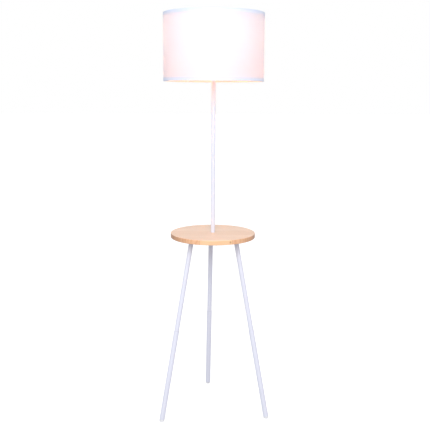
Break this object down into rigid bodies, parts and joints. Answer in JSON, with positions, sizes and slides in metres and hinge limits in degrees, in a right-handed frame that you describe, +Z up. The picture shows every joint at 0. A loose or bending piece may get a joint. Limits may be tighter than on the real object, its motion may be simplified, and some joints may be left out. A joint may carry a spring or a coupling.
{
  "type": "tripod floor lamp",
  "caption": "Floor lamp: drum shade on a sectional tube pole, round wooden tray at its foot, and splayed two-section tube legs.",
  "frame": {"origin": "on the floor, at the middle of the lamp's box; the pole's axis is 28.9 mm in front of it, at Y = -0.0289", "axes": "+Z up along the pole; +Y towards the back leg; +X to the right as the lamp is seen from the front"},
  "size_m": [0.4312, 0.4378, 1.56],
  "materials": {
    "shade_fabric": "plain-weave white cloth laminated on film, lets light through",
    "shade_trim": "folded cool-white tape",
    "shade_liner": "translucent white film",
    "tray_wood": "light rubberwood staves under satin lacquer",
    "white_metal": "white powder coat, semi-gloss",
    "white_wire": "white-coated wire and sheet",
    "white_plastic": "moulded, fine texture",
    "zinc_steel": "zinc-plated, turned",
    "brass": "drawn sheet brass",
    "cap_metal": "rolled thread, satin",
    "bulb_opal": "opal diffuser, lit warm white"
  },
  "bodies": {
    "stand": {"tray": "tray_wood", "tray_nipple": "zinc_steel", "tray_washer": "zinc_steel", "tray_nut": "zinc_steel", "cord_bush": "white_plastic", "pole_lower": "white_metal", "pole_upper": "white_metal", "pole_foot_plug": "zinc_steel", "pole_joint_socket": "zinc_steel", "pole_joint_stud": "zinc_steel", "pole_top_plug": "zinc_steel", "pole_top_nipple": "zinc_steel", "leg_bracket_left": "white_metal", "leg_bracket_right": "white_metal", "leg_bracket_back": "white_metal", "bracket_screw_a_left": "zinc_steel", "bracket_screw_b_left": "zinc_steel", "bracket_screw_c_left": "zinc_steel", "bracket_screw_a_right": "zinc_steel", "bracket_screw_b_right": "zinc_steel", "bracket_screw_c_right": "zinc_steel", "bracket_screw_a_back": "zinc_steel", "bracket_screw_b_back": "zinc_steel", "bracket_screw_c_back": "zinc_steel", "leg_top_stud_left": "zinc_steel", "leg_top_stud_right": "zinc_steel", "leg_top_stud_back": "zinc_steel", "leg_upper_left": "white_metal", "leg_upper_right": "white_metal", "leg_upper_back": "white_metal", "leg_joint_stud_left": "zinc_steel", "leg_joint_stud_right": "zinc_steel", "leg_joint_stud_back": "zinc_steel", "leg_lower_left": "white_metal", "leg_lower_right": "white_metal", "leg_lower_back": "white_metal", "foot_left": "white_plastic", "foot_right": "white_plastic", "foot_back": "white_plastic", "holder_cap": "white_plastic", "holder_sleeve": "white_plastic", "holder_core": "white_plastic", "screw_shell": "brass", "centre_contact": "brass"},
    "shade": {"fitter_ring": "white_wire", "fitter_arm_a": "white_wire", "fitter_arm_b": "white_wire", "fitter_arm_c": "white_wire", "shade_ring_bottom": "white_wire", "shade_ring_top": "white_wire", "shade_fabric": "shade_fabric", "shade_liner": "shade_liner", "shade_trim_bottom": "shade_trim", "shade_trim_top": "shade_trim"},
    "clamp_ring": {"shade_clamp_ring": "white_plastic"},
    "bulb_carrier": {"bulb_contact": "brass"},
    "bulb": {"bulb_cap": "cap_metal", "bulb_housing": "white_plastic", "bulb_globe": "bulb_opal"}
  },
  "joints": [
    {"name": "shade_swivel", "type": "hinge", "parent": "stand", "child": "shade", "pos_m": [0, -0.0289, 1.31], "axis": [0, 0, 1], "continuous": true},
    {"name": "clamp_ring_rise", "type": "slide", "parent": "stand", "child": "clamp_ring", "axis": [0, 0, 1], "range_m": [0, 0.018]},
    {"name": "bulb_rise", "type": "slide", "parent": "stand", "child": "bulb_carrier", "axis": [0, 0, 1], "range_m": [0, 0.02896]},
    {"name": "bulb_turn", "type": "hinge", "parent": "bulb_carrier", "child": "bulb", "pos_m": [0, -0.0289, 1.39], "axis": [0, 0, 1], "range_deg": [0, 2880]}
  ],
  "couplings": [
    {"joint": "bulb_rise", "follows": "bulb_turn", "m_per_rad": 0.00057614}
  ]
}
